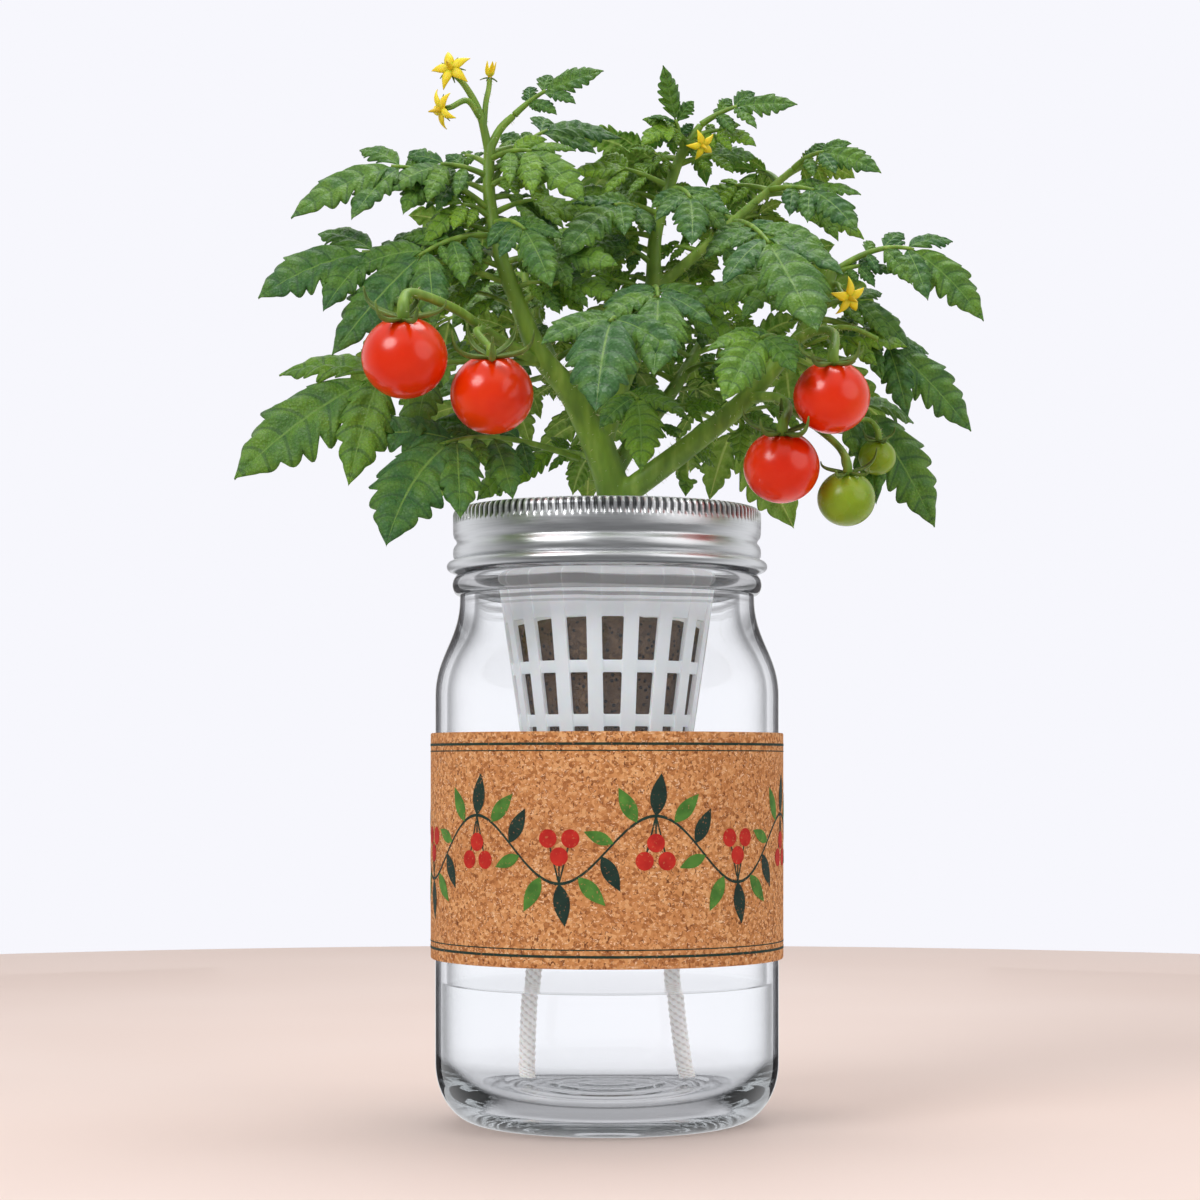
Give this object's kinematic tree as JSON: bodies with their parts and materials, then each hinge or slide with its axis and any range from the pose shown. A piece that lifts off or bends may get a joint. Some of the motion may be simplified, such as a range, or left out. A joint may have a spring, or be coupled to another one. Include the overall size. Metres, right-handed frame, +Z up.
{
  "type": "hydroponic grow kit",
  "caption": "Wide-mouth glass jar with a screw band that clamps a slatted net cup, a plug with a fruiting dwarf tomato plant, wicks hanging to the jar's floor, and a cork sleeve.",
  "frame": {"origin": "on the jar's axis, at the level of the flat ring that it stands on", "axes": "+Z up along the jar's axis, +X to the right and -Y towards the viewer when the jar is seen from the front"},
  "size_m": [0.2043, 0.1647, 0.3005],
  "materials": {
    "clear_glass": "clear, smooth",
    "cork": "matte pressed cork granules",
    "band_metal": "bright tin plate",
    "cup_plastic": "white moulded plastic",
    "wick_cotton": "off-white braided cotton",
    "grow_medium": "dark brown pressed peat and coir",
    "stem": "olive green, finely hairy",
    "leaf": "dark green, satin",
    "ripe_fruit": "smooth glossy red skin",
    "unripe_fruit": "smooth glossy green skin",
    "petal": "yellow petals"
  },
  "bodies": {
    "jar": {"glass_jar": "clear_glass", "cork_sleeve": "cork"},
    "cup": {"net_cup": "cup_plastic", "wick_left": "wick_cotton", "wick_right": "wick_cotton", "wick_knot_left": "wick_cotton", "wick_knot_right": "wick_cotton"},
    "band": {"screw_band": "band_metal"},
    "plant": {"grow_plug": "grow_medium", "plant_stem": "stem", "flower_bud": "petal", "flower_right": "petal", "flower_side": "petal", "flower_stalks": "stem", "flower_top": "petal", "flower_upper_right": "petal", "leaf_back_high": "leaf", "leaf_back_left_high": "leaf", "leaf_back_left_low": "leaf", "leaf_back_left_middle": "leaf", "leaf_back_low": "leaf", "leaf_back_right_high": "leaf", "leaf_back_right_low": "leaf", "leaf_back_right_middle": "leaf", "leaf_centre_hanging": "leaf", "leaf_centre_high": "leaf", "leaf_centre_low": "leaf", "leaf_foot_right": "leaf", "leaf_foot_small": "leaf", "leaf_front_centre": "leaf", "leaf_front_left": "leaf", "leaf_front_right": "leaf", "leaf_front_right_low": "leaf", "leaf_front_upper": "leaf", "leaf_left_droop": "leaf", "leaf_left_foot": "leaf", "leaf_left_front": "leaf", "leaf_left_high": "leaf", "leaf_left_low": "leaf", "leaf_left_middle": "leaf", "leaf_right_foot": "leaf", "leaf_right_high": "leaf", "leaf_right_high_front": "leaf", "leaf_right_low": "leaf", "leaf_right_middle": "leaf", "leaf_right_wide": "leaf", "leaf_top_centre": "leaf", "leaf_top_left": "leaf", "leaf_top_right": "leaf", "leaf_top_upright": "leaf", "tomato_green": "unripe_fruit", "tomato_green_small": "unripe_fruit", "tomato_left_inner": "ripe_fruit", "tomato_left_outer": "ripe_fruit", "tomato_right_lower": "ripe_fruit", "tomato_right_upper": "ripe_fruit", "truss_left": "stem", "truss_right_lower": "stem", "truss_right_upper": "stem"}
  },
  "joints": [
    {"name": "cup_rise", "type": "slide", "parent": "jar", "child": "cup", "axis": [0, 0, 1], "range_m": [0, 0.0076]},
    {"name": "band_turn", "type": "hinge", "parent": "cup", "child": "band", "pos_m": [0, 0, 0.165], "axis": [0, 0, 1], "range_deg": [0, 540]},
    {"name": "plug_lift", "type": "slide", "parent": "cup", "child": "plant", "axis": [0, 0, 1], "range_m": [0, 0.075]}
  ],
  "couplings": [
    {"joint": "cup_rise", "follows": "band_turn", "m_per_rad": 0.00079577}
  ]
}
